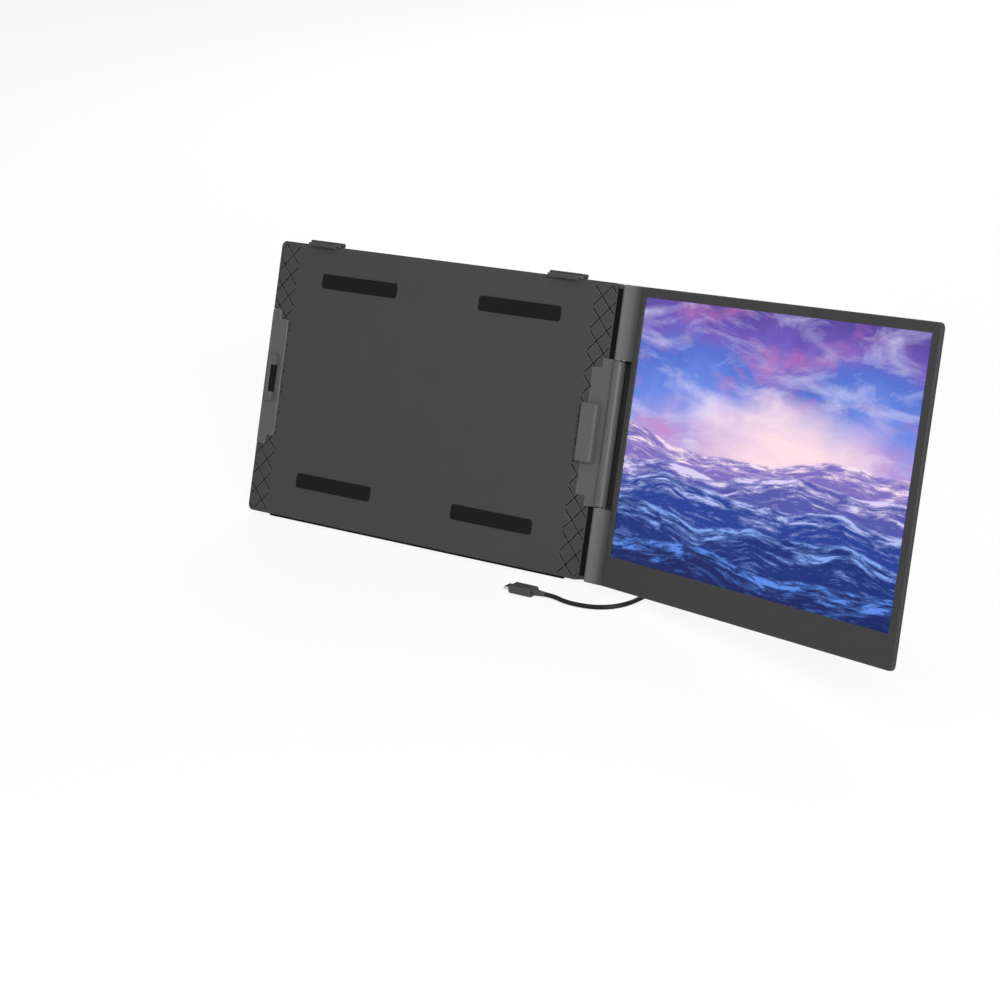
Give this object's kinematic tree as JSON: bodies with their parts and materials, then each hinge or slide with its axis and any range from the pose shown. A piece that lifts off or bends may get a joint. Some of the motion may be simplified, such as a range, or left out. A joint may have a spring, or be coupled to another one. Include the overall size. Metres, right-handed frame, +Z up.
{
  "type": "laptop screen extender",
  "caption": "Flat support frame with sliding arms and lid clips, kickstand behind, and a slim hinged monitor that swings on its side and is fed by a short lead.",
  "frame": {"origin": "middle of the flat under the frame's bottom foot, on the desk", "axes": "+X to the right along the frame's width, +Y away from the user, +Z up"},
  "size_m": [0.7271, 0.2233, 0.2576],
  "materials": {
    "frame_plastic": "fine matt moulded plastic, dark grey",
    "arm_metal": "satin grey paint on cast metal",
    "monitor_plastic": "smooth satin plastic, dark grey",
    "screen": "lit display under a satin polariser",
    "rubber": "matt black silicone",
    "steel": "plain steel",
    "black_screw": "black oxide",
    "stand_metal": "bead-blasted grey anodised sheet",
    "inner_plastic": "white inner plastic",
    "circuit": "green solder mask",
    "button_plastic": "polished black",
    "cable_jacket": "smooth black jacket",
    "plug_plastic": "dark grey moulding",
    "plug_steel": "bright nickel plate"
  },
  "bodies": {
    "frame": {"frame_front_plate": "frame_plastic", "frame_rear_cover": "frame_plastic", "frame_stiffener": "steel", "grip_pads": "rubber", "bottom_foot": "rubber", "frame_screws": "black_screw", "right_arm_guides": "inner_plastic", "left_arm_guides": "inner_plastic", "kickstand_pins": "steel", "clip_springs_left": "steel", "clip_springs_right": "steel"},
    "right_arm": {"right_arm_plate": "arm_metal", "right_clip": "frame_plastic", "right_clip_pad": "rubber", "hinge_pins": "steel", "usb_cable": "cable_jacket", "laptop_plug_body": "plug_plastic", "laptop_plug_nose": "plug_steel", "laptop_plug_relief": "plug_plastic"},
    "left_arm": {"left_arm_plate": "arm_metal", "left_clip": "frame_plastic", "left_clip_pad": "rubber"},
    "top_clip_l": {"top_clip_left": "frame_plastic"},
    "top_clip_r": {"top_clip_right": "frame_plastic"},
    "kickstand": {"kickstand_plate": "stand_metal", "kickstand_foot": "rubber"},
    "monitor": {"monitor_bezel": "monitor_plastic", "lcd_panel": "screen", "backlight_unit": "inner_plastic", "panel_tray": "steel", "monitor_rear_cover": "monitor_plastic", "upper_knuckle": "arm_metal", "lower_knuckle": "arm_metal", "upper_hinge_bracket": "steel", "lower_hinge_bracket": "steel", "hinge_screws": "black_screw", "electronics_cover": "monitor_plastic", "cover_screws": "black_screw", "main_board": "circuit", "board_screws": "steel", "usb_c_ports": "plug_steel", "mini_hdmi_port": "plug_steel", "speakers": "rubber", "tact_switches": "button_plastic", "monitor_plug_body": "plug_plastic", "monitor_plug_nose": "plug_steel", "monitor_plug_relief": "plug_plastic"},
    "power_key": {"power_button": "button_plastic"},
    "menu_key": {"menu_button": "button_plastic"},
    "minus_key": {"minus_button": "button_plastic"},
    "plus_key": {"plus_button": "button_plastic"}
  },
  "joints": [
    {"name": "right_arm_slide", "type": "slide", "parent": "frame", "child": "right_arm", "axis": [1, 0, 0], "range_m": [0, 0.014]},
    {"name": "left_arm_slide", "type": "slide", "parent": "frame", "child": "left_arm", "axis": [-1, 0, 0], "range_m": [0, 0.0215]},
    {"name": "monitor_swing", "type": "hinge", "parent": "right_arm", "child": "monitor", "pos_m": [0.1913, 0.03091, 0.10964], "axis": [0, -0.3437, -0.9391], "range_deg": [-19.6, 130], "deforming": ["usb_cable"]},
    {"name": "kickstand_fold", "type": "hinge", "parent": "frame", "child": "kickstand", "pos_m": [0, 0.06144, 0.1663], "axis": [-1, 0, 0], "range_deg": [0, 32.08]},
    {"name": "top_clip_left_lift", "type": "slide", "parent": "frame", "child": "top_clip_l", "axis": [0, 0.3437, 0.9391], "range_m": [0, 0.014], "stiffness_N_per_m": 150, "springref_m": -0.02, "deforming": ["clip_springs_left"]},
    {"name": "top_clip_right_lift", "type": "slide", "parent": "frame", "child": "top_clip_r", "axis": [0, 0.3437, 0.9391], "range_m": [0, 0.014], "stiffness_N_per_m": 150, "springref_m": -0.02, "deforming": ["clip_springs_right"]},
    {"name": "power_press", "type": "slide", "parent": "monitor", "child": "power_key", "axis": [0, 0.3437, 0.9391], "range_m": [0, 0.0007], "stiffness_N_per_m": 800, "springref_m": -0.001},
    {"name": "menu_press", "type": "slide", "parent": "monitor", "child": "menu_key", "axis": [0, 0.3437, 0.9391], "range_m": [0, 0.0007], "stiffness_N_per_m": 800, "springref_m": -0.001},
    {"name": "minus_press", "type": "slide", "parent": "monitor", "child": "minus_key", "axis": [0, 0.3437, 0.9391], "range_m": [0, 0.0007], "stiffness_N_per_m": 800, "springref_m": -0.001},
    {"name": "plus_press", "type": "slide", "parent": "monitor", "child": "plus_key", "axis": [0, 0.3437, 0.9391], "range_m": [0, 0.0007], "stiffness_N_per_m": 800, "springref_m": -0.001}
  ]
}
